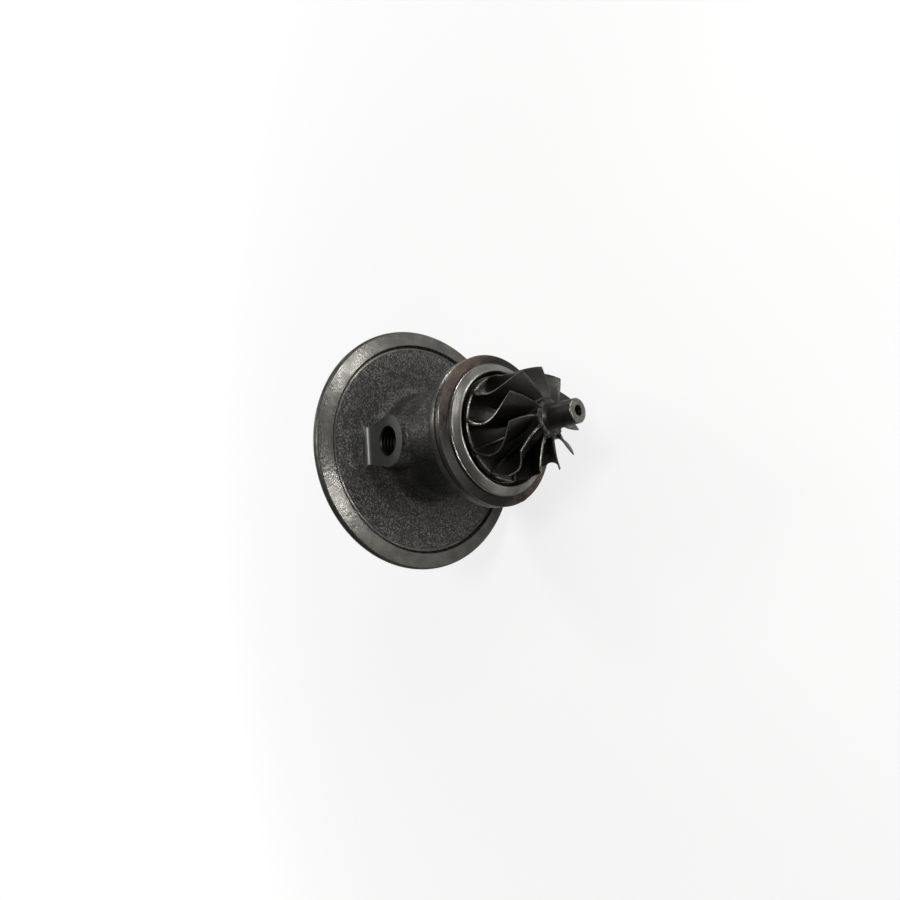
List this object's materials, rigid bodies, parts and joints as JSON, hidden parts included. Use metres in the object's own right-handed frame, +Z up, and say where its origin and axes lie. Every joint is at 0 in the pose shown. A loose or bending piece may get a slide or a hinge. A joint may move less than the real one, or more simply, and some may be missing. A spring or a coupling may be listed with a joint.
{
  "type": "turbocharger cartridge",
  "caption": "Turbocharger centre cartridge: cast bearing housing between turbine flange and compressor disc, with a free-spinning rotor, floating bushes, thrust and seal parts.",
  "frame": {"origin": "on the rotor axis, in the face of the turbine flange at the foot of its pilot", "axes": "+X along the rotor axis toward the turbine nose; +Z up through the oil inlet, with the drain on -Z"},
  "size_m": [0.1138, 0.104, 0.104],
  "materials": {
    "cast_iron": "sand-cast grey iron, turned on the disc's land, the spigot and the turbine flange",
    "shield_steel": "pressed sheet steel, dulled by heat",
    "hot_alloy": "investment-cast heat-resistant alloy, dark and satin",
    "ground_steel": "turned and ground steel",
    "spring_steel": "blackened spring steel",
    "bronze": "turned bearing bronze",
    "cast_aluminium": "cast aluminium, turned at the hub and back",
    "seal_rubber": "moulded black seal rubber"
  },
  "bodies": {
    "housing": {"bearing_housing": "cast_iron", "heat_shield": "shield_steel", "turbine_piston_ring": "spring_steel", "turbine_bush_snap_front": "spring_steel", "turbine_bush_snap_back": "spring_steel", "compressor_bush_snap_front": "spring_steel", "compressor_bush_snap_back": "spring_steel", "thrust_bearing": "bronze", "thrust_pin_a": "ground_steel", "thrust_pin_b": "ground_steel", "oil_deflector": "shield_steel", "seal_plate": "cast_aluminium", "seal_plate_o_ring": "seal_rubber", "seal_plate_circlip": "spring_steel", "compressor_piston_ring": "spring_steel", "cover_o_ring": "seal_rubber"},
    "rotor": {"turbine_wheel": "hot_alloy", "shaft": "ground_steel", "thrust_washer": "ground_steel", "thrust_collar": "ground_steel", "flinger_sleeve": "ground_steel", "compressor_wheel": "cast_aluminium", "lock_nut": "ground_steel"},
    "turbine_bearing": {"turbine_bush": "bronze"},
    "compressor_bearing": {"compressor_bush": "bronze"}
  },
  "joints": [
    {"name": "rotor_spin", "type": "hinge", "parent": "housing", "child": "rotor", "pos_m": [0, 0, 0], "axis": [1, 0, 0], "continuous": true},
    {"name": "turbine_bearing_spin", "type": "hinge", "parent": "housing", "child": "turbine_bearing", "pos_m": [-0.018, 0, 0], "axis": [1, 0, 0], "continuous": true},
    {"name": "compressor_bearing_spin", "type": "hinge", "parent": "housing", "child": "compressor_bearing", "pos_m": [-0.033, 0, 0], "axis": [1, 0, 0], "continuous": true}
  ]
}
